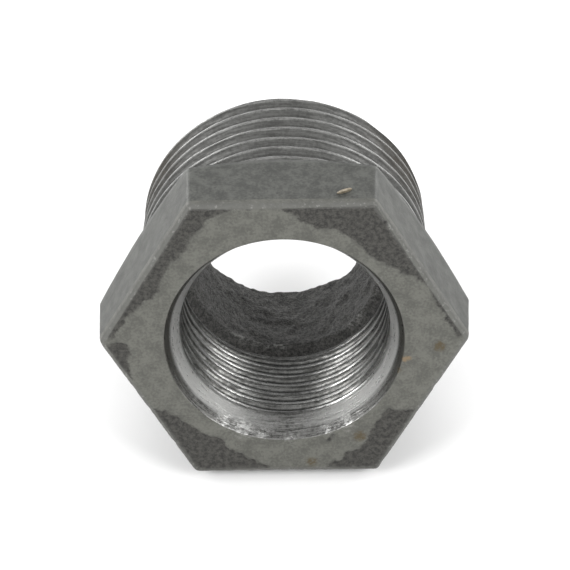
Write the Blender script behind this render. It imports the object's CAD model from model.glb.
"""Looks of the hex reducing bushing: its worn threads, cast skin, dents, stains and iron.

One closed mesh stands for the whole fitting, because the real one is a single casting.  The mesh
is a stack of stations along the fitting's closed outline, each carried once round its axis:
front face, hexagon, shoulder, threaded barrel, end face, cored passage, tapped bore.  Points are
worked out in the fitting's own frame, in millimetres: `clock` is the angle round the axis from
the top flat, clockwise as seen from the front, and `depth` is the distance behind the front face.
They are then laid down on the table in metres, as the solid lies there.
"""

import logging
import math
from dataclasses import dataclass
from enum import Enum

import bpy
import numpy as np
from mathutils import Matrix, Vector


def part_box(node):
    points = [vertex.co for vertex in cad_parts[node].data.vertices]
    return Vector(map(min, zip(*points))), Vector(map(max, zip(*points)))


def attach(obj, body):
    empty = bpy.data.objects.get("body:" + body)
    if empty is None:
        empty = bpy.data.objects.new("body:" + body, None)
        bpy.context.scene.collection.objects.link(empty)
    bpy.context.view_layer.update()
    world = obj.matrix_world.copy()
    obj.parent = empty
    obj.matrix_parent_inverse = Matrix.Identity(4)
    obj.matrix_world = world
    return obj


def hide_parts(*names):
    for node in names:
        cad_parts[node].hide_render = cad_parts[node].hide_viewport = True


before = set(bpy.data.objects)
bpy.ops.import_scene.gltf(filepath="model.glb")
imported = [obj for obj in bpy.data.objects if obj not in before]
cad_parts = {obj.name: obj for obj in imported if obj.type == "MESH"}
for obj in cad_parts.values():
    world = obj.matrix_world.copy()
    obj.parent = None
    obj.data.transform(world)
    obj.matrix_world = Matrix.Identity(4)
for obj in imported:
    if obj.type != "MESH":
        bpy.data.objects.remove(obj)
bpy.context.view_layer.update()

log = logging.getLogger("bushing")

Span = tuple[float, float]
Point = tuple[float, float, float]
Colour = tuple[float, float, float, float]
Socket = bpy.types.NodeSocket
Value = Socket | float | Point | Colour

NODE = "hex_bushing"
OWN_PLACE = "own"   # the mesh's name for each point's place in the fitting's own frame
MM = 0.001
INCH = 25.4
TURN = 2.0 * math.pi
SIXTH = math.pi / 3.0
WELD = 1e-5         # points less than about this many millimetres apart are one point
TINY = 1e-12        # keeps a division by a length of nothing from failing
FAR_OFF = 1e9       # further than any distance that is measured

# A mix node has sockets for every kind of value.  These are its sockets for colours.
MIX_FIRST = 6
MIX_SECOND = 7
MIX_RESULT = 2


def tone(red: int, green: int, blue: int) -> Colour:
    """A display colour, 0 to 255 a channel, as the linear colour that a shader takes."""
    linear = [
        v / 12.92 if v <= 0.04045 else ((v + 0.055) / 1.055) ** 2.4
        for v in (red / 255, green / 255, blue / 255)
    ]
    return (linear[0], linear[1], linear[2], 1.0)


RUST = tone(112, 96, 74)
PIT = tone(38, 37, 35)


def linked(name: str, data: bpy.types.ID) -> bpy.types.Object:
    """Put new data into the scene as an object."""
    thing = bpy.data.objects.new(name, data)
    bpy.context.scene.collection.objects.link(thing)
    return thing


def eased(share: np.ndarray) -> np.ndarray:
    """A share from 0 to 1 that leaves 0 and reaches 1 without a corner."""
    return share * share * (3.0 - 2.0 * share)


def ramp(value: np.ndarray, start: float, end: float) -> np.ndarray:
    """How far a value has gone from start to end, held between 0 and 1."""
    return np.clip((value - start) / (end - start), 0.0, 1.0)


def hill(value: np.ndarray, middle: float, reach: float) -> np.ndarray:
    """A smooth hill that is 1 in its middle and fades over its reach on both sides."""
    return np.exp(-(((value - middle) / reach) ** 2))


class Surface(Enum):
    """The finishes of the fitting, in the order of the mesh's material slots."""

    SKIN = 0
    FACED = 1
    MALE_THREAD = 2
    CORED = 3
    FEMALE_THREAD = 4


@dataclass(frozen=True)
class Sizes:
    """Sizes of the whole fitting in millimetres and degrees.

    They are the solid's, with its edges and crests a little more worn and the female thread cut.
    """

    across_flats: float = 36.0
    head_thickness: float = 9.3
    flat_draft: float = 1.7
    rear_corner_angle: float = 28.0
    corner_round: float = 0.7
    front_edge_round: float = 0.55
    rear_edge_break: float = 0.3
    shoulder_fillet: float = 0.15
    overall_length: float = 26.8
    male_end_radius: float = 16.2
    taper: float = 1.0 / 32.0
    end_chamfer: float = 0.9
    male_pitch: float = INCH / 11.5
    male_depth: float = 1.25
    male_crest: float = 0.5
    male_root: float = 0.3
    male_crest_at_top: float = 14.6
    collar: float = 1.9
    run_out: float = 1.2
    tapped_radius: float = 11.75
    tapped_depth: float = 14.2
    mouth_radius: float = 13.5
    mouth_angle: float = 30.0
    female_pitch: float = INCH / 14.0
    female_depth: float = 0.85
    female_crest: float = 0.75
    female_root: float = 0.16
    female_root_at_bottom: float = 1.95
    core_radius: float = 10.75
    core_edge_break: float = 0.4

    def mouth_depth(self) -> float:
        """Depth where the countersink meets the crests of the female thread."""
        return (self.mouth_radius - self.tapped_radius) / math.tan(math.radians(self.mouth_angle))

    def core_start(self) -> float:
        """Depth where the step between the two bores ends and the cored passage begins."""
        return self.tapped_depth + (self.tapped_radius - self.core_radius)

    def apothem(self, depth: np.ndarray) -> np.ndarray:
        """Distance from the axis to the flats at a depth behind the front face."""
        return self.across_flats / 2 + depth * math.tan(math.radians(self.flat_draft))

    def rear_apothem(self) -> float:
        """Distance from the axis to the flats at the back of the head."""
        return float(self.apothem(np.float64(self.head_thickness)))

    def crest_radius(self, depth: np.ndarray) -> np.ndarray:
        """Radius over the male crests at a depth behind the front face."""
        return self.male_end_radius + (self.overall_length - depth) * self.taper

    def tilt(self) -> float:
        """Angle in radians by which the fitting leans back, from its flat onto its rim."""
        rim = self.overall_length - self.end_chamfer
        rise = self.rear_apothem() - float(self.crest_radius(np.float64(rim)))
        return math.atan2(rise, rim - self.head_thickness)

    def hexagon_radius(self, clock: np.ndarray, apothem: np.ndarray) -> np.ndarray:
        """Outline of the hexagon with its corners rounded.

        Args:
            clock: Angles round the axis in radians.
            apothem: Distance from the axis to the flats, for each angle or for all.

        Returns:
            The radius of the outline at each angle.
        """
        off_flat = (clock + SIXTH / 2) % SIXTH - SIXTH / 2
        off_corner = SIXTH / 2 - np.abs(off_flat)
        straight = apothem / np.cos(off_flat)
        centre = (apothem - self.corner_round) / math.cos(SIXTH / 2)
        chord = np.maximum(self.corner_round**2 - (centre * np.sin(off_corner)) ** 2, 0.0)
        rounded = centre * np.cos(off_corner) + np.sqrt(chord)
        tangent = np.arctan((apothem - self.corner_round) * math.tan(SIXTH / 2) / apothem)
        return np.where(np.abs(off_flat) > tangent, rounded, straight)


@dataclass(frozen=True)
class Placement:
    """Where the fitting lies on the table: the solid's sizes and its far side in metres."""

    sizes: Sizes
    far_side: float

    def lay_down(self, across: np.ndarray, up: np.ndarray, depth: np.ndarray) -> np.ndarray:
        """Carry points from the fitting's own frame to the table.

        Args:
            across: Millimetres to the right, seen from the front.
            up: Millimetres from the axis towards the top flat.
            depth: Millimetres behind the front face.

        Returns:
            The points in metres, one row each.
        """
        tilt = self.sizes.tilt()
        lean, stand = math.sin(tilt), math.cos(tilt)
        end_up = self.sizes.male_end_radius - self.sizes.end_chamfer
        reach = end_up * lean + self.sizes.overall_length * stand
        raise_by = self.sizes.rear_apothem() * stand + self.sizes.head_thickness * lean
        along = self.far_side / MM - reach + up * lean + depth * stand
        height = raise_by + up * stand - depth * lean
        return np.stack([across, along, height], axis=-1) * MM


@dataclass(frozen=True)
class Relief:
    """Smooth repeatable noise, read at points in millimetres.

    Attributes:
        seed: Seed of the noise.
        size: Size of its bumps.
        height: The most that it reaches, up and down.
        cells: How many bumps there are along each side before the noise repeats.
        shift: Moves the noise off the axis, in bumps, so that none is centred there.
    """

    seed: int
    size: float
    height: float = 1.0
    cells: int = 32
    shift: float = 7.31

    def at(self, points: np.ndarray) -> np.ndarray:
        """Noise at each point.

        Args:
            points: Places in millimetres, one row each.

        Returns:
            One value a point, between minus the height and the height.
        """
        values = np.random.default_rng(self.seed).uniform(-1.0, 1.0, (self.cells,) * 3)
        scaled = points / self.size + self.shift
        low = np.floor(scaled).astype(int)
        part = eased(scaled - low)
        total = np.zeros(scaled.shape[:-1])
        for corner in np.ndindex(2, 2, 2):
            index = (low + corner) % self.cells
            share = np.prod(np.where(corner, part, 1.0 - part), axis=-1)
            total += share * values[index[..., 0], index[..., 1], index[..., 2]]
        return self.height * total


Reliefs = tuple[Relief, ...]


def layered(reliefs: Reliefs, points: np.ndarray) -> np.ndarray:
    """Several layers of noise added up at each point."""
    return np.sum([relief.at(points) for relief in reliefs], axis=0)


@dataclass(frozen=True)
class Strip:
    """Stations next to each other on the outline, for every angle.

    Attributes:
        radius: Distance from the axis, angles by stations.
        depth: Distance behind the front face, angles by stations.
        surface: The finish from each station to the next.
        groove: How deep in a thread's groove each point lies, from 0 to 1.
    """

    radius: np.ndarray
    depth: np.ndarray
    surface: Surface
    groove: np.ndarray

    @staticmethod
    def plain(radius: np.ndarray, depth: np.ndarray, surface: Surface) -> "Strip":
        """A strip without a thread."""
        return Strip(radius, depth, surface, np.zeros_like(radius))


@dataclass(frozen=True)
class Thread:
    """A right-hand thread whose lines follow its helix.

    Attributes:
        pitch: Distance from crest to crest.
        crest: Width of the crest.
        root: Width of the root.
        crest_at_top: Depth of one crest at the top of the fitting.
    """

    pitch: float
    crest: float
    root: float
    crest_at_top: float

    def phase(self, clock: np.ndarray, depth: np.ndarray) -> np.ndarray:
        """Distance from the nearest crest in pitches, from -0.5 to 0.5."""
        turns = (depth - self.crest_at_top) / self.pitch - clock / TURN
        return (turns + 0.5) % 1.0 - 0.5

    def groove(self, clock: np.ndarray, depth: np.ndarray) -> np.ndarray:
        """Share of the full depth that the groove has at a point, from 0 to 1."""
        half_crest = self.crest / self.pitch / 2
        half_root = self.root / self.pitch / 2
        return ramp(np.abs(self.phase(clock, depth)), half_crest, 0.5 - half_root)

    def lines(self, clock: np.ndarray, start: float, end: float) -> np.ndarray:
        """Depths of the mesh lines, each on one place of the thread's section.

        Args:
            clock: Angles of the mesh columns, the first repeated at the end as a full turn.
            start: Depth where the lines begin.
            end: Depth where they end.

        Returns:
            Depths, angles by lines, all between start and end.
        """
        crest, root = self.crest / self.pitch / 2, self.root / self.pitch / 2
        flank = (0.5 - root + crest) / 2
        places = [-crest, 0.0, crest, flank, 0.5 - root, 0.5 + root, 1.0 - flank]
        first = math.floor((start - self.crest_at_top) / self.pitch) - 1
        last = math.ceil((end - self.crest_at_top) / self.pitch)
        steps = np.array([turn + place for turn in range(first, last + 1) for place in places])
        depth = self.crest_at_top + self.pitch * (steps[None, :] + clock[:, None] / TURN)
        return np.clip(depth, start, end)


@dataclass(frozen=True)
class Dent:
    """A dent in the metal.

    Attributes:
        place: Across, up and depth of its middle, in millimetres.
        along: The direction of its length.
        length: Half its length.
        width: Half its width.
        drop: How deep it is.
    """

    place: Point
    along: Point
    length: float
    width: float
    drop: float

    def at(self, points: np.ndarray) -> np.ndarray:
        """How far the dent lowers the surface at each point, in millimetres."""
        away = points - np.array(self.place)
        along = np.array(self.along) / np.linalg.norm(self.along)
        run = away @ along
        side = np.linalg.norm(away - run[..., None] * along, axis=-1)
        return self.drop * hill(run, 0.0, self.length) * hill(side, 0.0, self.width)


@dataclass(frozen=True)
class Spot:
    """A round spot of rust, oil, dirt or fresh scraping.

    Attributes:
        place: Across, up and depth of its middle, in millimetres.
        reach: Its radius.
        strength: How strong it is in its middle, from 0 to 1.
    """

    place: Point
    reach: float
    strength: float

    def at(self, points: np.ndarray) -> np.ndarray:
        """Strength of the spot at each point, fading to nothing at its reach."""
        away = np.linalg.norm(points - np.array(self.place), axis=-1)
        return self.strength * np.clip(1.0 - away / self.reach, 0.0, 1.0)


@dataclass(frozen=True)
class Head:
    """The hexagon head, from the countersink over the front face to its shoulder."""

    sizes: Sizes
    face_stations: int = 34
    edge_stations: int = 4
    flat_stations: int = 13
    edge_middle: float = 0.16       # how far the rounded edge's middle lies behind the face
    front_wear: float = 0.45        # how far the front edge is rubbed on each side
    rear_wear: float = 0.4
    rear_strength: float = 0.7      # how bright the rear edge is, where the front edge is 1
    even_wear: float = 0.85
    patchy_wear: Reliefs = (Relief(21, 1.6, 0.2), Relief(22, 0.5, 0.2))
    skimmed_outline: tuple[Span, ...] = (       # across and up of its corners
        (-7.0, 17.0), (-5.0, 17.5), (-1.0, 17.5),
        (1.0, 17.0), (3.5, 15.0), (6.0, 14.5), (7.0, 13.5), (10.5, 10.5), (13.0, 9.0),
        (16.0, 7.0), (17.5, 4.0), (19.5, 0.5), (22.0, 0.0),
        (20.0, -5.5), (16.5, -9.5), (11.5, -9.5), (10.0, -11.0), (10.0, -12.5), (9.0, -14.0),
        (6.5, -16.0), (4.5, -17.5), (4.5, -19.5),
        (-1.5, -19.5), (-2.0, -17.0), (-5.5, -15.5), (-8.0, -13.0), (-9.5, -12.5),
        (-12.0, -10.5), (-14.0, -9.0), (-15.5, -8.5),
        (-18.0, -6.0), (-17.0, -5.0), (-17.5, -3.0), (-17.5, -0.5), (-21.5, 0.0),
        (-19.5, 0.5), (-17.5, 3.0), (-16.0, 4.5), (-14.5, 6.0), (-13.5, 8.0), (-12.5, 10.5),
        (-11.0, 12.0), (-10.0, 13.5), (-9.0, 15.0),
    )

    def front_face(self, clock: np.ndarray) -> Strip:
        """The flat face from the countersink's edge to the edge round of the hexagon."""
        apothem = np.float64(self.sizes.across_flats / 2 - self.sizes.front_edge_round)
        width = self.sizes.hexagon_radius(clock, apothem) - self.sizes.mouth_radius
        share = np.linspace(0.0, 1.0, self.face_stations)
        radius = self.sizes.mouth_radius + width[:, None] * share
        return Strip.plain(radius, np.zeros_like(radius), Surface.FACED)

    def front_edge(self, clock: np.ndarray) -> Strip:
        """The rounded edge between the front face and the flats."""
        size = self.sizes.front_edge_round
        turned = np.linspace(0.0, math.pi / 2, self.edge_stations + 1)[1:]
        apothem = self.sizes.across_flats / 2 - size * (1.0 - np.sin(turned))
        radius = self.sizes.hexagon_radius(clock[:, None], apothem[None, :])
        depth = np.broadcast_to(size * (1.0 - np.cos(turned)), radius.shape)
        return Strip.plain(radius, depth, Surface.FACED)

    def shoulder_ring(self) -> float:
        """Radius where the cut over the rear corners begins."""
        return self.sizes.rear_apothem() - self.sizes.rear_edge_break

    def rear_cut(self, radius: np.ndarray) -> np.ndarray:
        """Depth of the turned cut over the rear corners at a radius."""
        beyond = np.maximum(radius - self.shoulder_ring(), 0.0)
        slope = math.tan(math.radians(self.sizes.rear_corner_angle))
        return self.sizes.head_thickness - beyond * slope

    def rear_edge(self, clock: np.ndarray) -> tuple[np.ndarray, np.ndarray]:
        """Line where the flats meet the turned cut.

        Args:
            clock: Angles round the axis in radians.

        Returns:
            The radius and the depth of the line at each angle.
        """
        depth = np.full_like(clock, self.sizes.head_thickness)
        for _ in range(4):      # each step shrinks the error to a sixtieth
            radius = self.sizes.hexagon_radius(clock, self.sizes.apothem(depth))
            depth = self.rear_cut(radius)
        return radius, depth

    def flats(self, clock: np.ndarray) -> Strip:
        """The six drafted flats with their rounded corners."""
        _, end = self.rear_edge(clock)
        share = np.linspace(0.0, 1.0, self.flat_stations + 1)[1:]
        start = self.sizes.front_edge_round
        depth = start + (end[:, None] - start) * share
        radius = self.sizes.hexagon_radius(clock[:, None], self.sizes.apothem(depth))
        return Strip.plain(radius, depth, Surface.SKIN)

    def shoulder(self, clock: np.ndarray) -> Strip:
        """The back of the head, cut over the corners and flat down to the barrel."""
        outer, _ = self.rear_edge(clock)
        ring = self.shoulder_ring()
        barrel = float(self.sizes.crest_radius(np.float64(self.sizes.head_thickness)))
        root = barrel + self.sizes.shoulder_fillet
        cut = ring + (outer[:, None] - ring) * np.array([0.75, 0.5, 0.25, 0.0])
        land = root + (ring - root) * np.array([0.5, 0.0])
        radius = np.hstack([cut, np.broadcast_to(land, (clock.size, land.size))])
        return Strip.plain(radius, self.rear_cut(radius), Surface.SKIN)

    def reach_to_flats(self, points: np.ndarray) -> np.ndarray:
        """Distance of each point from the axis, measured square to the nearest flat."""
        turned = np.arange(6) * SIXTH
        return np.max(
            points[:, :1] * np.sin(turned) + points[:, 1:2] * np.cos(turned), axis=1)

    def worn(self, points: np.ndarray) -> np.ndarray:
        """How far handling has rubbed the head's edges bright.

        Args:
            points: Places in millimetres, one row each.

        Returns:
            The wear at each point, from 0 to 1.
        """
        reach = self.reach_to_flats(points)
        depth = points[:, 2]
        off_flats = reach - self.sizes.across_flats / 2 + self.edge_middle
        front = np.hypot(off_flats, depth - self.edge_middle)
        rear = np.hypot(reach - self.sizes.rear_apothem(), depth - self.sizes.head_thickness)
        near = np.exp(-((front / self.front_wear) ** 4))
        near += self.rear_strength * hill(rear, 0.0, self.rear_wear)
        return near * np.clip(self.even_wear + layered(self.patchy_wear, points), 0.0, 1.0)

    def skimmed_distance(self, across: np.ndarray, up: np.ndarray) -> np.ndarray:
        """Distance from the edge of the skimmed area on the front face.

        Args:
            across: Millimetres to the right.
            up: Millimetres upwards.

        Returns:
            Millimetres, positive where the cast skin is left.
        """
        outline = np.array(self.skimmed_outline)
        following = np.roll(outline, -1, axis=0)
        nearest = np.full(across.shape, FAR_OFF)
        inside = np.zeros(across.shape, dtype=bool)
        for (ax, ay), (bx, by) in zip(outline, following):
            span = np.array([bx - ax, by - ay])
            share = ((across - ax) * span[0] + (up - ay) * span[1]) / (span @ span)
            share = np.clip(share, 0.0, 1.0)
            away = np.hypot(across - ax - share * span[0], up - ay - share * span[1])
            nearest = np.minimum(nearest, away)
            if ay != by:
                crosses = (ay > up) != (by > up)
                inside ^= crosses & (across < ax + (up - ay) * (bx - ax) / (by - ay))
        return np.where(inside, -nearest, nearest)


@dataclass(frozen=True)
class Barrel:
    """The barrel with the male taper thread, from the shoulder to the edge of the passage."""

    sizes: Sizes
    collar_line: float = 0.5        # a station on the collar, this far behind the head
    end_stations: int = 9
    end_edge: float = 0.08          # share of the end face outside its first station

    def thread(self) -> Thread:
        """The male thread."""
        sizes = self.sizes
        return Thread(
            sizes.male_pitch, sizes.male_crest, sizes.male_root, sizes.male_crest_at_top)

    def threaded(self, clock: np.ndarray) -> Strip:
        """The collar, the run-out and the thread up to the end of the barrel.

        Args:
            clock: Angles of the mesh columns in radians.

        Returns:
            The strip, with the thread's groove.
        """
        sizes = self.sizes
        start = sizes.head_thickness + sizes.collar
        lines = self.thread().lines(clock, start, sizes.overall_length)
        collar = sizes.head_thickness + np.array([sizes.shoulder_fillet, self.collar_line])
        depth = np.hstack([np.broadcast_to(collar, (clock.size, collar.size)), lines])
        groove = self.thread().groove(clock[:, None], depth)
        groove *= ramp(depth, start, start + sizes.run_out)
        radius = sizes.crest_radius(depth) - sizes.male_depth * groove
        chamfer = sizes.male_end_radius - sizes.end_chamfer + (sizes.overall_length - depth)
        return Strip(np.minimum(radius, chamfer), depth, Surface.MALE_THREAD, groove)

    def end_face(self, clock: np.ndarray) -> Strip:
        """The face at the end of the barrel, down to the worn edge of the passage."""
        outer = self.sizes.male_end_radius - self.sizes.end_chamfer
        inner = self.sizes.core_radius + self.sizes.core_edge_break
        share = np.linspace(self.end_edge, 1.0, self.end_stations)
        radius = np.broadcast_to(outer + (inner - outer) * share, (clock.size, share.size))
        depth = np.full_like(radius, self.sizes.overall_length)
        return Strip.plain(radius, depth, Surface.FACED)


@dataclass(frozen=True)
class Bore:
    """The cored passage and the tapped bore, from the end of the barrel to the mouth."""

    sizes: Sizes
    core_stations: int = 40
    lip: float = 0.3                # share of the edge break on the passage's first station
    mouth_line: float = 0.06        # depth of the last station before the front face
    fade: float = 0.5               # length over which the groove fades at each end
    mouth_fade: float = 0.35        # how far before the countersink's end it begins

    def thread(self) -> Thread:
        """The female thread, whose crests stand inwards."""
        sizes = self.sizes
        # A root at the bottom and a crest at the top are half a turn and half a pitch apart.
        return Thread(sizes.female_pitch, sizes.female_crest, sizes.female_root,
                      sizes.female_root_at_bottom)

    def passage(self, clock: np.ndarray) -> Strip:
        """The passage that the core left in the casting."""
        sizes = self.sizes
        lip = sizes.core_edge_break * self.lip
        far = sizes.overall_length - sizes.core_edge_break
        stations = np.linspace(far, sizes.core_start(), self.core_stations)
        depth = np.broadcast_to(
            np.hstack([far + lip, stations]), (clock.size, self.core_stations + 1))
        radius = np.full_like(depth, sizes.core_radius)
        radius[:, 0] += lip
        return Strip.plain(radius, depth, Surface.CORED)

    def tapped(self, clock: np.ndarray) -> Strip:
        """The step, the female thread and the countersink, up to the mouth.

        Args:
            clock: Angles of the mesh columns in radians.

        Returns:
            The strip, with the thread's groove.
        """
        sizes = self.sizes
        depth = self.thread().lines(clock, self.mouth_line, sizes.tapped_depth)[:, ::-1]
        begun = sizes.mouth_depth() - self.mouth_fade
        groove = self.thread().groove(clock[:, None], depth)
        groove *= ramp(depth, sizes.tapped_depth, sizes.tapped_depth - self.fade)
        groove *= ramp(depth, begun, begun + self.fade)
        radius = sizes.tapped_radius + sizes.female_depth * groove
        cone = sizes.mouth_radius - depth * math.tan(math.radians(sizes.mouth_angle))
        return Strip(np.maximum(radius, cone), depth, Surface.FEMALE_THREAD, groove)


@dataclass(frozen=True)
class Wear:
    """What casting, cutting and use have done to the metal, in millimetres."""

    # The head: cast skin on the flats and in patches on its front face, skimmed in the middle.
    sunk: float = 0.04              # how far its surfaces lie inside the solid's
    skin: Reliefs = (Relief(11, 2.6, 0.025), Relief(12, 0.8, 0.012))
    skin_step: float = 0.12         # how far cast skin lies below the skimmed part
    skin_grit: Reliefs = (Relief(13, 0.45, 0.04), Relief(12, 0.8, 0.03))
    step_width: float = 0.4
    step_ragged: Reliefs = (Relief(14, 1.5, 0.35), Relief(19, 0.7, 0.35))
    step_rubbed: float = 1.6        # how soon rubbing evens the step out
    skimmed: Relief = Relief(12, 0.8, 0.006)
    face_edge: Span = (0.01, 0.06)  # depths over which the front face ends
    off_face: float = 6.0           # moves all that lies behind the face off its cast skin
    nick_drop: float = 0.09
    nick_middle: float = 0.25       # depth of the middle of the nicks along the front edge
    nick_reach: float = 0.35
    nick_radius: float = 17.0       # nicks are found beyond this radius
    nicks: Reliefs = (Relief(20, 0.9), Relief(13, 0.45, 0.3))

    # The barrel, its end and the passage.
    thread_drop: float = 0.02       # how far the male thread lies inside the solid's
    bruises: Relief = Relief(15, 1.1, 0.14)
    bruise_scale: Point = (0.35, 0.35, 1.0)     # draws the bruises out along the crests
    core: Reliefs = (Relief(16, 1.5, 0.16), Relief(20, 0.9, 0.1), Relief(13, 0.45, 0.09))
    fray_drop: float = 0.45
    fray_along: float = 0.8         # reach of the frayed edge along the passage
    fray_across: float = 0.7        # and across it
    fray_even: float = 0.5
    frays: Reliefs = (Relief(17, 2.4, 0.5), Relief(18, 0.9, 0.4))

    # The mouth, where the cutter left dark skin outside and bare metal inside.
    raw_depth: Span = (1.2, 0.9)    # depths over which dark skin comes in
    raw_below: Span = (0.25, 0.65)  # share of the way down over which it is cut off
    raw_lost: float = 0.85          # how much of it is cut off there
    bare_depth: Span = (1.0, 1.3)   # depths over which bare metal comes in
    bare_end: Span = (0.2, -0.1)    # distances past the countersink over which it goes out
    lip_reach: float = 0.22         # reach of the bright lip between the two bores
    lip_even: float = 0.45
    lip_patches: Relief = Relief(23, 2.2, 0.5)


@dataclass(frozen=True)
class IronMesh:
    """The welded points and faces of the fitting, ready to be worn and dented.

    Attributes:
        points: Across, up and depth in millimetres, one row a point.
        groove: Share of a thread's full depth at each point.
        clock: Angle round the axis of each point.
        corners: Point numbers of each face, four a row, some repeated.
        finish: Surface number of each face.
        sizes: The fitting's sizes.
        dents: Its dents.
        wear: What has been done to the metal.
    """

    points: np.ndarray
    groove: np.ndarray
    clock: np.ndarray
    corners: np.ndarray
    finish: np.ndarray
    sizes: Sizes
    dents: tuple[Dent, ...]
    wear: Wear = Wear()

    def faces(self) -> tuple[list[list[int]], list[int]]:
        """Faces without repeated points, and the surface number of each.

        Returns:
            Lists of point numbers, and their surface numbers.
        """
        kept, finishes = [], []
        for row, finish in zip(self.corners.tolist(), self.finish.tolist()):
            corners = [row[i] for i in range(4) if row[i] != row[i - 1]]
            if len(corners) > 2 and len(set(corners)) == len(corners):
                kept.append(corners)
                finishes.append(finish)
        return kept, finishes

    def outward(self, faces: list[list[int]]) -> np.ndarray:
        """Unit normals of the points, pointing out of the metal.

        Args:
            faces: Lists of point numbers.

        Returns:
            One normal a point.
        """
        normals = np.zeros_like(self.points)
        for count in (3, 4):
            group = np.array([face for face in faces if len(face) == count])
            one = self.points[group[:, 2]] - self.points[group[:, 0]]
            two = self.points[group[:, -1]] - self.points[group[:, 1]]
            crossed = np.cross(one, two)
            for column in range(count):
                np.add.at(normals, group[:, column], crossed)
        return normals / np.maximum(np.linalg.norm(normals, axis=1, keepdims=True), TINY)

    def share_of(self, surface: Surface) -> np.ndarray:
        """Share of the faces round each point that have a finish, from 0 to 1."""
        total = np.zeros(len(self.points))
        matching = np.zeros(len(self.points))
        same = (self.finish == surface.value).astype(float)
        for column in range(4):
            np.add.at(total, self.corners[:, column], 1.0)
            np.add.at(matching, self.corners[:, column], same)
        return matching / np.maximum(total, 1.0)

    def radius(self) -> np.ndarray:
        """Distance of each point from the axis."""
        return np.hypot(self.points[:, 0], self.points[:, 1])

    def patch(self) -> np.ndarray:
        """Millimetres from the skimmed area's ragged edge at each point, positive on cast skin."""
        smooth = Head(self.sizes).skimmed_distance(self.points[:, 0], self.points[:, 1])
        behind = ramp(self.points[:, 2], *self.wear.face_edge)
        return smooth + layered(self.wear.step_ragged, self.points) - self.wear.off_face * behind

    def step(self, patch: np.ndarray) -> np.ndarray:
        """How far the front face's cast skin and skimmed part lie off its plane.

        Args:
            patch: Distance from the skimmed area's edge.

        Returns:
            Millimetres outwards at each point.
        """
        wear = self.wear
        left = eased(ramp(patch, -wear.step_width / 2, wear.step_width / 2))
        left *= 1.0 - np.clip(wear.step_rubbed * Head(self.sizes).worn(self.points), 0.0, 1.0)
        skin = layered(wear.skin_grit, self.points) - wear.skin_step
        return left * skin + (1.0 - left) * wear.skimmed.at(self.points)

    def nicked(self) -> np.ndarray:
        """How deep the nicks along the front edge are at each point."""
        wear = self.wear
        near = hill(self.points[:, 2], wear.nick_middle, wear.nick_reach)
        near *= self.radius() > wear.nick_radius
        return near * wear.nick_drop * np.clip(layered(wear.nicks, self.points), 0.0, 1.0)

    def bruised(self) -> np.ndarray:
        """How far a thread is worn down at each point, most on its crests."""
        drawn_out = self.points * np.array(self.wear.bruise_scale)
        bruises = np.maximum(self.wear.bruises.at(drawn_out), 0.0)
        return self.wear.thread_drop + (1.0 - self.groove) * bruises

    def lift(self, patch: np.ndarray) -> np.ndarray:
        """How far casting, wear and dents move each point out of the metal.

        Args:
            patch: Distance from the skimmed area's edge.

        Returns:
            Millimetres along the outward normal.
        """
        skin, faced = self.share_of(Surface.SKIN), self.share_of(Surface.FACED)
        lift = skin * layered(self.wear.skin, self.points)
        lift += faced * self.step(patch) - self.wear.sunk * np.maximum(skin, faced)
        lift -= self.nicked()
        lift -= self.share_of(Surface.MALE_THREAD) * self.bruised()
        lift += self.share_of(Surface.CORED) * layered(self.wear.core, self.points)
        return lift - np.sum([dent.at(self.points) for dent in self.dents], axis=0)

    def frayed(self) -> np.ndarray:
        """How far the worn edge of the passage at the barrel's end is set back, in millimetres."""
        wear = self.wear
        near = hill(self.points[:, 2], self.sizes.overall_length, wear.fray_along)
        near *= hill(self.radius(), self.sizes.core_radius, wear.fray_across)
        flat = self.points * np.array([1.0, 1.0, 0.0])
        return near * wear.fray_drop * np.clip(wear.fray_even + layered(wear.frays, flat), 0.0, 1.0)

    def raw_mouth(self) -> np.ndarray:
        """Share of dark skin that the cutter left in the mouth at each point, little below."""
        below = ramp(-np.cos(self.clock), *self.wear.raw_below)
        return ramp(self.points[:, 2], *self.wear.raw_depth) * (1.0 - self.wear.raw_lost * below)

    def bare_mouth(self) -> np.ndarray:
        """Share of freshly cut metal in the inner half of the countersink at each point."""
        deep = ramp(self.points[:, 2], *self.wear.bare_depth)
        shallow = ramp(self.points[:, 2] - self.sizes.mouth_depth(), *self.wear.bare_end)
        beside = np.abs(np.sin(self.clock))
        return deep * shallow * beside

    def step_lip(self) -> np.ndarray:
        """Share of metal rubbed bright on the lip between the two bores at each point."""
        near = hill(self.points[:, 2], self.sizes.core_start(), self.wear.lip_reach)
        uneven = self.wear.lip_even + self.wear.lip_patches.at(self.points)
        return near * np.clip(uneven, 0.0, 1.0)

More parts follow.
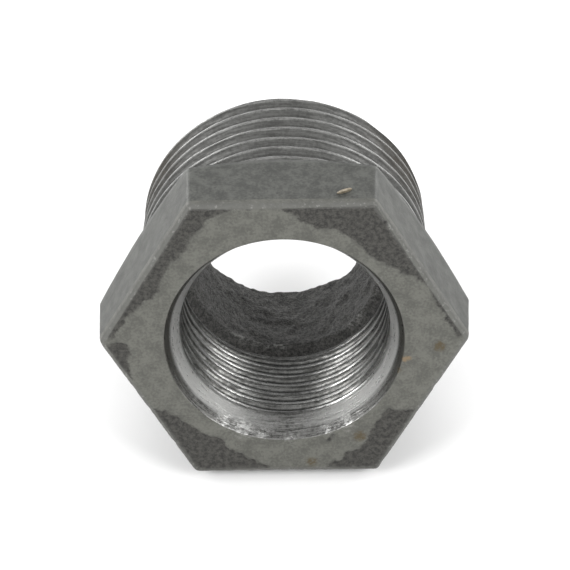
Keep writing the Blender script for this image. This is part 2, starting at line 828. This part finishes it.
    def build(self, name: str, table: Placement,
              spots: dict[str, tuple[Spot, ...]]) -> bpy.types.Object:
        """Make the Blender object, with its points where the solid lies.

        Args:
            name: Name of the piece.
            table: Where the fitting lies.
            spots: Spots on the metal by kind, each kind kept as numbers at the points.

        Returns:
            The piece.
        """
        faces, finishes = self.faces()
        patch = self.patch()
        moved = self.points + self.outward(faces) * self.lift(patch)[:, None]
        moved[:, 2] -= self.frayed()
        mesh = bpy.data.meshes.new(name)
        mesh.from_pydata(table.lay_down(*moved.T).tolist(), [], faces)
        mesh.polygons.foreach_set("material_index", finishes)
        mesh.polygons.foreach_set("use_smooth", [True] * len(faces))
        held = {
            "groove": self.groove,
            "patch": patch,
            "worn": Head(self.sizes).worn(self.points),
            "raw": self.raw_mouth(),
            "bare": self.bare_mouth(),
        }
        for kind, listed in spots.items():
            held[kind] = np.max([spot.at(self.points) for spot in listed], axis=0)
        held["scrape"] = np.maximum(held["scrape"], self.step_lip())
        for label, values in held.items():
            layer = mesh.attributes.new(label, "FLOAT", "POINT")
            layer.data.foreach_set("value", values.astype(np.float32))
        layer = mesh.attributes.new(OWN_PLACE, "FLOAT_VECTOR", "POINT")
        layer.data.foreach_set("vector", self.points.astype(np.float32).ravel())
        mesh.update()
        mesh.validate()
        return linked(name, mesh)


@dataclass(frozen=True)
class HexBushing:
    """The whole fitting as one closed mesh."""

    sizes: Sizes = Sizes()
    plain_columns: int = 66         # spaces between the columns of a flat
    corner_columns: tuple[float, ...] = (0.0, 0.45, 0.95)       # degrees from a corner
    dents: tuple[Dent, ...] = (
        Dent((6.85, 18.1, 1.95), (0.9, 0.0, 0.45), 0.8, 0.3, 0.12),
        Dent((5.05, -13.3, 0.0), (0.5, 0.8, 0.0), 0.45, 0.16, 0.22),
        Dent((11.54, 17.06, 0.0), (1.0, 0.0, 0.0), 0.25, 0.22, 0.2),
        Dent((11.42, 15.5, 0.0), (0.0, 1.0, 0.0), 0.3, 0.25, 0.25),
        Dent((-10.2, 18.2, 7.2), (1.0, 0.0, 0.0), 0.4, 0.3, 0.1),
        Dent((-7.4, 18.2, 4.75), (1.0, 0.0, 0.2), 0.3, 0.2, 0.07),
        Dent((-13.9, 6.8, 0.0), (1.0, 0.0, 0.0), 0.2, 0.2, 0.08),
        Dent((-7.2, 15.0, 0.0), (1.0, 0.3, 0.0), 0.3, 0.15, 0.06),
    )

    def clock_angles(self) -> np.ndarray:
        """Angles of the mesh columns, closer at the six corners, with the full turn last."""
        near = np.radians(self.corner_columns)
        between = np.linspace(near[-1], SIXTH - near[-1], self.plain_columns + 1)[1:-1]
        sector = np.concatenate([near, between, SIXTH - near[:0:-1]])
        whole = np.concatenate([SIXTH / 2 + side * SIXTH + sector for side in range(6)])
        return np.append(whole, whole[0] + TURN)

    def strips(self, clock: np.ndarray) -> list[Strip]:
        """Every strip of the closed outline, in order."""
        head, barrel, bore = Head(self.sizes), Barrel(self.sizes), Bore(self.sizes)
        return [
            head.front_face(clock), head.front_edge(clock), head.flats(clock),
            head.shoulder(clock), barrel.threaded(clock), barrel.end_face(clock),
            bore.passage(clock), bore.tapped(clock),
        ]

    def welded(self) -> IronMesh:
        """Carry every strip round, close the outline, and join points that coincide."""
        clock = self.clock_angles()
        strips = self.strips(clock)
        radius = np.hstack([strip.radius for strip in strips])
        depth = np.hstack([strip.depth for strip in strips])
        groove = np.hstack([strip.groove for strip in strips])
        surface = np.concatenate(
            [np.full(strip.radius.shape[1], strip.surface.value) for strip in strips])
        angle = np.broadcast_to(clock[:, None], radius.shape)
        points = np.stack([radius * np.sin(angle), radius * np.cos(angle), depth], axis=-1)

        columns, stations = radius.shape
        keys = np.round(points.reshape(-1, 3) / WELD).astype(np.int64)
        _, first, joined = np.unique(keys, axis=0, return_index=True, return_inverse=True)
        joined = joined.reshape(columns, stations)
        following = np.roll(joined, -1, axis=1)
        corners = np.stack([joined[:-1], following[:-1], following[1:], joined[1:]], axis=-1)
        return IronMesh(
            points=points.reshape(-1, 3)[first],
            groove=groove.reshape(-1)[first],
            clock=angle.reshape(-1)[first] % TURN,
            corners=corners.reshape(-1, 4),
            finish=np.broadcast_to(surface, (columns - 1, stations)).reshape(-1),
            sizes=self.sizes,
            dents=self.dents,
        )


class NodeSheet:
    """A material's nodes, added one by one."""

    def __init__(self, name: str) -> None:
        """Start a material with only its shader and its output."""
        self.material = bpy.data.materials.new(name)
        self.material.use_nodes = True
        self.nodes = self.material.node_tree.nodes
        self.links = self.material.node_tree.links
        self.nodes.clear()
        output = self.nodes.new("ShaderNodeOutputMaterial")
        self.shader = self.nodes.new("ShaderNodeBsdfPrincipled")
        self.links.new(self.shader.outputs["BSDF"], output.inputs["Surface"])

    def feed(self, node: bpy.types.Node, inputs: dict[str | int, Value]) -> None:
        """Link each input of a node to a socket, or set its own value."""
        for name, value in inputs.items():
            if isinstance(value, bpy.types.NodeSocket):
                self.links.new(value, node.inputs[name])
            else:
                node.inputs[name].default_value = value

    def number(self, label: str, output: str = "Fac") -> Socket:
        """Something that the mesh holds at each point."""
        node = self.nodes.new("ShaderNodeAttribute")
        node.attribute_name = label
        return node.outputs[output]

    def place(self, scale: Point = (1.0, 1.0, 1.0)) -> Socket:
        """Across, up and depth in millimetres, each times its scale."""
        node = self.nodes.new("ShaderNodeVectorMath")
        node.operation = "MULTIPLY"
        self.feed(node, {0: self.number(OWN_PLACE, "Vector"), 1: scale})
        return node.outputs["Vector"]

    def noise(self, vector: Socket, size: float, detail: float = 2.0,
              rough: float = 0.5) -> Socket:
        """Cloudy noise from 0 to 1.

        Args:
            vector: Where it is read.
            size: Size of its largest clouds, in the units of the vector.
            detail: Number of finer layers.
            rough: Strength of the finer layers.

        Returns:
            The noise.
        """
        node = self.nodes.new("ShaderNodeTexNoise")
        self.feed(node, {"Vector": vector, "Scale": 1.0 / size, "Detail": detail,
                         "Roughness": rough})
        return node.outputs["Fac"]

    def cells(self, vector: Socket, size: float) -> Socket:
        """Distance from the middles of scattered cells, in cell sizes."""
        node = self.nodes.new("ShaderNodeTexVoronoi")
        self.feed(node, {"Vector": vector, "Scale": 1.0 / size})
        return node.outputs["Distance"]

    def sweep(self, value: Socket, low: float, high: float,
              start: float = 0.0, end: float = 1.0) -> Socket:
        """Carry a value from low..high to start..end, smoothly and held at the ends.

        Args:
            value: The value.
            low: Where the sweep begins.
            high: Where it ends.
            start: Result at and below low.
            end: Result at and above high.

        Returns:
            The result.
        """
        node = self.nodes.new("ShaderNodeMapRange")
        node.interpolation_type = "SMOOTHSTEP"
        self.feed(node, {"Value": value, "From Min": low, "From Max": high,
                         "To Min": start, "To Max": end})
        return node.outputs["Result"]

    def maths(self, kind: str, one: Value, two: Value) -> Socket:
        """One sum of two numbers, such as ADD or MULTIPLY."""
        node = self.nodes.new("ShaderNodeMath")
        node.operation = kind
        self.feed(node, {0: one, 1: two})
        return node.outputs["Value"]

    def times(self, one: Value, two: Value) -> Socket:
        """Two numbers multiplied."""
        return self.maths("MULTIPLY", one, two)

    def mixed(self, one: Socket, two: Socket, share: float) -> Socket:
        """Two numbers mixed, the first alone where the share is 0."""
        return self.maths("ADD", self.times(one, 1.0 - share), self.times(two, share))

    def blend(self, share: Socket, one: Value, two: Value) -> Socket:
        """A colour between two, the first where the share is 0."""
        node = self.nodes.new("ShaderNodeMix")
        node.data_type = "RGBA"
        self.feed(node, {"Factor": share, MIX_FIRST: one, MIX_SECOND: two})
        return node.outputs[MIX_RESULT]

    def bump(self, height: Socket, distance: float, under: Socket | None = None) -> Socket:
        """A normal bent by a height.

        Args:
            height: The height, from 0 to 1.
            distance: What a height of 1 measures, in millimetres.
            under: A normal to start from.

        Returns:
            The normal.
        """
        node = self.nodes.new("ShaderNodeBump")
        self.feed(node, {"Strength": 1.0, "Distance": distance * MM, "Height": height})
        if under is not None:
            self.feed(node, {"Normal": under})
        return node.outputs["Normal"]

    def dress(self, colour: Value, roughness: Value, metallic: Value,
              normal: Socket | None = None) -> bpy.types.Material:
        """Set the shader and give back the material.

        Args:
            colour: Base colour.
            roughness: Roughness.
            metallic: Share that reflects as bare metal.
            normal: Bent normal.

        Returns:
            The finished material.
        """
        self.feed(self.shader, {"Base Color": colour, "Roughness": roughness,
                                "Metallic": metallic})
        if normal is not None:
            self.feed(self.shader, {"Normal": normal})
        return self.material

    def fine(self) -> Socket:
        """The fine grain that all skins share."""
        return self.noise(self.place(), 0.3, 2.0, 0.6)

    def scraped(self, colour: Socket, bare: Colour) -> Socket:
        """A colour with scraped bare metal over it, in short streaks."""
        torn = self.noise(self.place((0.9, 1.6, 1.6)), 0.5, 4.0, 0.7)
        strength = self.times(self.number("scrape"), self.sweep(torn, 0.36, 0.66, 0.2, 1.5))
        return self.blend(self.sweep(strength, 0.1, 1.0, 0.0, 0.85), colour, bare)

    def grimy(self, colour: Socket, rust: Colour) -> Socket:
        """A colour under a thin brown film."""
        uneven = self.sweep(self.noise(self.place(), 0.9, 3.0, 0.6), 0.3, 0.7, 0.3, 1.0)
        return self.blend(self.times(self.number("grime"), uneven), colour, rust)

    def stained(self, colour: Socket, stain: Colour) -> Socket:
        """A colour with the mesh's stains, rust and pits over it, broken up at their edges."""
        broken = self.sweep(self.noise(self.place(), 0.4, 3.0, 0.6), 0.3, 0.7, 0.55, 1.5)
        for label, over in (("stain", stain), ("rust", RUST), ("pit", PIT)):
            strength = self.times(self.number(label), broken)
            colour = self.blend(self.sweep(strength, 0.12, 0.8), colour, over)
        return colour


@dataclass(frozen=True)
class CastSkin:
    """The smooth dark skin of the flats and the shoulder."""

    dark: Colour = tone(56, 57, 54)
    light: Colour = tone(85, 86, 82)
    rubbed: Colour = tone(88, 88, 85)
    pitted: Colour = tone(50, 49, 47)
    rust: Colour = tone(88, 79, 59)

    def material(self) -> bpy.types.Material:
        """The material."""
        sheet = NodeSheet("cast_skin")
        place, fine = sheet.place(), sheet.fine()
        mottle = sheet.mixed(sheet.noise(place, 1.6, 4.0, 0.62), fine, 0.5)
        colour = sheet.blend(sheet.sweep(mottle, 0.36, 0.64), self.dark, self.light)
        pits = sheet.cells(place, 1.5)
        colour = sheet.blend(sheet.sweep(pits, 0.05, 0.13, 0.55, 0.0), colour, self.pitted)
        rubbed = sheet.times(sheet.number("worn"), sheet.sweep(fine, 0.3, 0.65, 0.35, 1.1))
        colour = sheet.stained(sheet.blend(rubbed, colour, self.rubbed), self.rust)
        roughness = sheet.sweep(fine, 0.3, 0.7, 0.52, 0.66)
        return sheet.dress(colour, roughness, 0.25, sheet.bump(mottle, 0.05))


@dataclass(frozen=True)
class FacedIron:
    """The front face: skimmed iron, with the cast skin left in patches near the corners."""

    skimmed: Colour = tone(93, 93, 87)
    skimmed_dark: Colour = tone(73, 73, 68)
    skin: Colour = tone(68, 67, 63)
    skin_dark: Colour = tone(38, 37, 35)
    rubbed: Colour = tone(91, 91, 88)
    chipped: Colour = tone(126, 126, 122)
    rust: Colour = tone(70, 61, 42)

    def material(self) -> bpy.types.Material:
        """The material."""
        sheet = NodeSheet("faced_iron")
        place, fine, worn = sheet.place(), sheet.fine(), sheet.number("worn")
        ragged = sheet.noise(place, 0.45, 3.0, 0.6)
        clouds = sheet.noise(place, 1.8, 4.0, 0.6)
        grit = sheet.noise(place, 0.5, 4.0, 0.75)
        edge = sheet.maths("ADD", sheet.number("patch"), sheet.sweep(ragged, 0.2, 0.8, -0.2, 0.2))
        left = sheet.sweep(edge, -0.2, 0.26)
        mottle = sheet.sweep(sheet.mixed(clouds, fine, 0.45), 0.38, 0.62)
        skimmed = sheet.blend(mottle, self.skimmed_dark, self.skimmed)
        skin = sheet.blend(sheet.sweep(grit, 0.36, 0.64), self.skin_dark, self.skin)
        colour = sheet.blend(left, skimmed, skin)
        rubbed = sheet.times(worn, sheet.sweep(ragged, 0.3, 0.6, 0.75, 1.0))
        colour = sheet.blend(rubbed, colour, self.rubbed)
        chips = sheet.times(worn, sheet.sweep(ragged, 0.56, 0.68, 0.0, 0.8))
        colour = sheet.scraped(sheet.blend(chips, colour, self.chipped), self.chipped)
        normal = sheet.bump(fine, 0.025, sheet.bump(sheet.times(grit, left), 0.12))
        roughness = sheet.sweep(left, 0.0, 1.0, 0.55, 0.75)
        return sheet.dress(sheet.stained(colour, self.rust), roughness, 0.2, normal)


@dataclass(frozen=True)
class CutThread:
    """Iron cut by a die or a tap, with streaks along the cut and dark grooves."""

    name: str
    bright: Colour
    dull: Colour
    crest: Colour
    root: Colour
    scraped: Colour
    raw: Colour
    rust: Colour
    metallic: float
    roughness: Span     # of the bright and of the dull metal
    tear: float         # depth of the streaks in millimetres
    shaded: Span        # share of the groove's depth over which it darkens

    def material(self) -> bpy.types.Material:
        """The material."""
        sheet = NodeSheet(self.name)
        groove = sheet.number("groove")
        streaks = sheet.noise(sheet.place((0.22, 0.22, 4.0)), 0.6, 4.0, 0.7)
        spots = sheet.noise(sheet.place(), 0.35, 3.0, 0.65)
        worked = sheet.mixed(streaks, spots, 0.35)
        colour = sheet.blend(sheet.sweep(worked, 0.36, 0.64), self.dull, self.bright)
        rubbed = sheet.times(
            sheet.sweep(groove, 0.0, 0.1, 1.0, 0.0), sheet.sweep(worked, 0.4, 0.6, 0.1, 1.0))
        colour = sheet.blend(rubbed, colour, self.crest)
        colour = sheet.blend(sheet.sweep(groove, *self.shaded, 0.0, 0.85), colour, self.root)
        colour = sheet.blend(sheet.number("bare"), colour, self.scraped)
        colour = sheet.blend(sheet.number("raw"), colour, self.raw)
        colour = sheet.grimy(sheet.scraped(colour, self.scraped), self.rust)
        normal = sheet.bump(spots, self.tear / 2, sheet.bump(streaks, self.tear))
        smooth, rough = self.roughness
        roughness = sheet.sweep(worked, 0.35, 0.65, rough, smooth)
        return sheet.dress(sheet.stained(colour, self.rust), roughness, self.metallic, normal)


@dataclass(frozen=True)
class CoredSkin:
    """The coarse dark skin that the sand core left in the passage."""

    dark: Colour = tone(31, 31, 30)
    light: Colour = tone(88, 87, 84)
    rubbed: Colour = tone(150, 150, 147)

    def material(self) -> bpy.types.Material:
        """The material."""
        sheet = NodeSheet("cored_skin")
        place = sheet.place()
        grit, fine = sheet.noise(place, 0.42, 3.0, 0.7), sheet.noise(place, 0.2, 2.0, 0.6)
        mottle = sheet.mixed(grit, fine, 0.45)
        colour = sheet.blend(sheet.sweep(mottle, 0.36, 0.66), self.dark, self.light)
        return sheet.dress(sheet.scraped(colour, self.rubbed), 0.8, 0.1, sheet.bump(mottle, 0.3))


@dataclass(frozen=True)
class Finishes:
    """The fitting's finishes."""

    male: CutThread = CutThread(
        name="male_thread", bright=tone(90, 90, 88), dull=tone(60, 60, 58),
        crest=tone(124, 124, 122), root=tone(42, 41, 39), scraped=tone(140, 140, 138),
        raw=tone(60, 60, 57), rust=tone(62, 52, 37), metallic=0.4, roughness=(0.38, 0.54),
        tear=0.03, shaded=(0.6, 1.0))
    female: CutThread = CutThread(
        name="female_thread", bright=tone(124, 124, 122), dull=tone(60, 60, 58),
        crest=tone(150, 150, 148), root=tone(19, 19, 18), scraped=tone(222, 222, 220),
        raw=tone(88, 87, 83), rust=tone(90, 80, 60), metallic=0.92, roughness=(0.25, 0.42),
        tear=0.035, shaded=(0.25, 0.7))

    def materials(self) -> list[bpy.types.Material]:
        """One material for each surface, in the order of Surface."""
        finishes = (CastSkin(), FacedIron(), self.male, CoredSkin(), self.female)
        return [finish.material() for finish in finishes]


@dataclass(frozen=True)
class Burr:
    """A sliver of metal torn up out of the top flat."""

    place: Point = (6.9, 18.06, 2.66)
    along: Point = (0.89, 0.0, 0.456)
    half_length: float = 0.95
    half_width: float = 0.34
    rise: float = 0.36
    rings: int = 13
    reach: float = 0.98             # where its last rings are, in half lengths
    section: tuple[Span, ...] = (   # from back to front, in half widths and rises
        (1.0, -0.3), (0.55, 0.35), (-0.1, 0.85), (-0.75, 1.0), (-1.0, 0.6), (-0.7, -0.4))
    fresh: Colour = tone(150, 140, 122)
    dull: Colour = tone(112, 103, 87)

    def material(self) -> bpy.types.Material:
        """The material, paler where the metal is freshly torn."""
        sheet = NodeSheet("torn_metal")
        node = sheet.nodes.new("ShaderNodeNewGeometry")
        torn = sheet.noise(node.outputs["Position"], 0.4 * MM, 2.0, 0.6)
        colour = sheet.blend(sheet.sweep(torn, 0.35, 0.65), self.dull, self.fresh)
        return sheet.dress(colour, 0.5, 0.2, sheet.bump(torn, 0.02))

    def build(self, name: str, table: Placement) -> bpy.types.Object:
        """Make the sliver where it stands on the flat.

        Args:
            name: Name of the piece.
            table: Where the fitting lies.

        Returns:
            The piece.
        """
        along, up = np.array(self.along), np.array([0.0, 1.0, 0.0])
        side = np.cross(along, up)
        points = []
        for run in np.linspace(-self.reach, self.reach, self.rings):
            slim = math.sqrt(1.0 - run * run)
            middle = np.array(self.place) + along * run * self.half_length
            for out, high in self.section:
                rise = self.rise * (slim if high > 0.0 else 1.0)
                points.append(middle + side * out * self.half_width * slim + up * high * rise)
        ring, end = len(self.section), len(points)
        faces = []
        for start in range(0, end - ring, ring):
            for i in range(ring):
                following = (i + 1) % ring
                faces.append((start + i, start + following,
                              start + ring + following, start + ring + i))
        faces += [tuple(reversed(range(ring))), tuple(range(end - ring, end))]
        mesh = bpy.data.meshes.new(name)
        mesh.from_pydata(table.lay_down(*np.array(points).T).tolist(), [], faces)
        mesh.materials.append(self.material())
        return linked(name, mesh)


@dataclass(frozen=True)
class Softbox:
    """A square soft light, with its place and its side in metres."""

    name: str
    place: Point
    side: float
    watts: float

    def hang(self, aim: Point) -> bpy.types.Object:
        """Hang the light up and turn it to a point."""
        data = bpy.data.lights.new(self.name, "AREA")
        data.shape, data.size, data.energy = "SQUARE", self.side, self.watts
        light = linked(self.name, data)
        light.location = self.place
        light.rotation_mode = "QUATERNION"
        ray = Vector(aim) - Vector(self.place)
        light.rotation_quaternion = ray.to_track_quat("-Z", "Y")
        return light


@dataclass(frozen=True)
class Studio:
    """A pale floor, soft light from both sides and above, and the camera."""

    floor_size: float = 3.0         # in metres
    floor_tone: float = 0.93
    camera_place: Point = (4.314, -392.587, 348.247)        # in millimetres
    camera_turn: Point = (49.7868, 0.8559, -0.1033)         # in degrees
    lens: float = 283.5             # in millimetres, as the sensor's width
    sensor: float = 36.0
    clip: Span = (0.01, 20.0)       # in metres, as the lights' places
    lights: tuple[Softbox, ...] = (
        Softbox("left_light", (-0.5, -0.42, 0.42), 0.32, 3.2),
        Softbox("right_light", (0.5, -0.42, 0.42), 0.32, 2.9),
        Softbox("top_light", (0.0, 0.25, 0.75), 0.5, 1.2),
        Softbox("rear_left_light", (-0.37, 0.64, 0.11), 0.2, 2.3),
        Softbox("rear_right_light", (0.37, 0.64, 0.11), 0.2, 1.7),
    )
    aim: Point = (0.0, 0.0, 0.02)
    surround: float = 0.78

    def camera(self) -> bpy.types.Object:
        """The camera, which the scene then looks through."""
        data = bpy.data.cameras.new("camera")
        data.lens, data.sensor_width = self.lens, self.sensor
        data.clip_start, data.clip_end = self.clip
        camera = linked("camera", data)
        camera.location = [value * MM for value in self.camera_place]
        camera.rotation_euler = [math.radians(value) for value in self.camera_turn]
        bpy.context.scene.camera = camera
        return camera

    def floor(self) -> bpy.types.Object:
        """The plain pale floor under the fitting."""
        half = self.floor_size / 2
        mesh = bpy.data.meshes.new("floor")
        mesh.from_pydata(
            [(-half, -half, 0.0), (half, -half, 0.0), (half, half, 0.0), (-half, half, 0.0)],
            [], [(0, 1, 2, 3)])
        floor = linked("floor", mesh)
        grey = (self.floor_tone, self.floor_tone, self.floor_tone, 1.0)
        mesh.materials.append(NodeSheet("pale_floor").dress(grey, 0.9, 0.0))
        return floor

    def light(self) -> None:
        """The soft lights and a white surround."""
        for softbox in self.lights:
            softbox.hang(self.aim)
        world = bpy.data.worlds.new("surround")
        world.use_nodes = True
        surround = world.node_tree.nodes["Background"]
        surround.inputs["Color"].default_value = (1.0, 1.0, 1.0, 1.0)
        surround.inputs["Strength"].default_value = self.surround
        bpy.context.scene.world = world
        bpy.context.scene.view_settings.view_transform = "Standard"


SPOTS = {
    "stain": (
        Spot((17.4, -1.0, 0.0), 1.1, 0.95), Spot((12.7, -4.1, 0.0), 0.7, 0.7),
        Spot((8.4, -13.1, 0.0), 1.15, 0.95), Spot((2.9, -16.6, 0.0), 1.1, 0.75),
        Spot((-0.6, 15.6, 26.8), 1.7, 0.8), Spot((-4.3, 15.0, 26.8), 1.0, 0.6),
    ),
    "rust": (
        Spot((13.5, -2.6, 0.0), 0.6, 1.0), Spot((14.0, -2.5, 0.0), 0.5, 0.9),
    ),
    "scrape": (
        Spot((-6.8, -11.0, 0.6), 1.8, 0.85), Spot((-4.8, -12.2, 0.7), 2.0, 1.0),
        Spot((-2.6, -13.0, 0.5), 1.3, 0.8), Spot((4.8, -12.4, 0.5), 1.5, 0.85),
        Spot((6.8, -11.5, 0.5), 1.8, 0.95), Spot((8.4, -10.5, 0.5), 1.1, 0.6),
        Spot((0.5, -13.4, 0.2), 1.4, 0.55),
    ),
    "grime": (Spot((14.0, 8.0, 24.5), 8.0, 0.55), Spot((-14.5, 7.5, 24.5), 7.0, 0.5)),
    "pit": (
        Spot((4.85, -13.65, 0.0), 0.5, 1.0), Spot((5.3, -12.95, 0.0), 0.45, 0.9),
        Spot((11.5, 17.0, 0.0), 0.5, 0.9), Spot((11.4, 15.5, 0.0), 0.55, 0.8),
        Spot((-13.9, 6.8, 0.0), 0.35, 0.6), Spot((-7.2, 15.0, 0.0), 0.35, 0.5),
        Spot((-10.2, 18.2, 7.2), 0.5, 0.5), Spot((-7.4, 18.2, 4.75), 0.4, 0.5),
        Spot((-15.6, 4.0, 0.0), 0.4, 0.5), Spot((6.9, 18.1, 2.2), 0.75, 0.5),
    ),
}


def main() -> None:
    """Build the fitting, its finishes and the studio."""
    logging.basicConfig(level=logging.INFO, format="%(name)s: %(message)s")
    bushing = HexBushing()
    _, far_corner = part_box(NODE)
    table = Placement(bushing.sizes, far_corner.y)
    piece = bushing.welded().build("worn_bushing", table, SPOTS)
    for material in Finishes().materials():
        piece.data.materials.append(material)
    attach(piece, "root")
    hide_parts(NODE)
    triangles = sum(len(face.vertices) - 2 for face in piece.data.polygons)
    log.info("%s: %d triangles", piece.name, triangles)

    burr = Burr().build("torn_burr", table)
    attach(burr, "root")
    log.info("%s: %d faces", burr.name, len(burr.data.polygons))

    studio = Studio()
    studio.camera()
    studio.floor()
    studio.light()
    log.info("studio: camera, floor and lights")


if __name__ == "__main__":
    main()
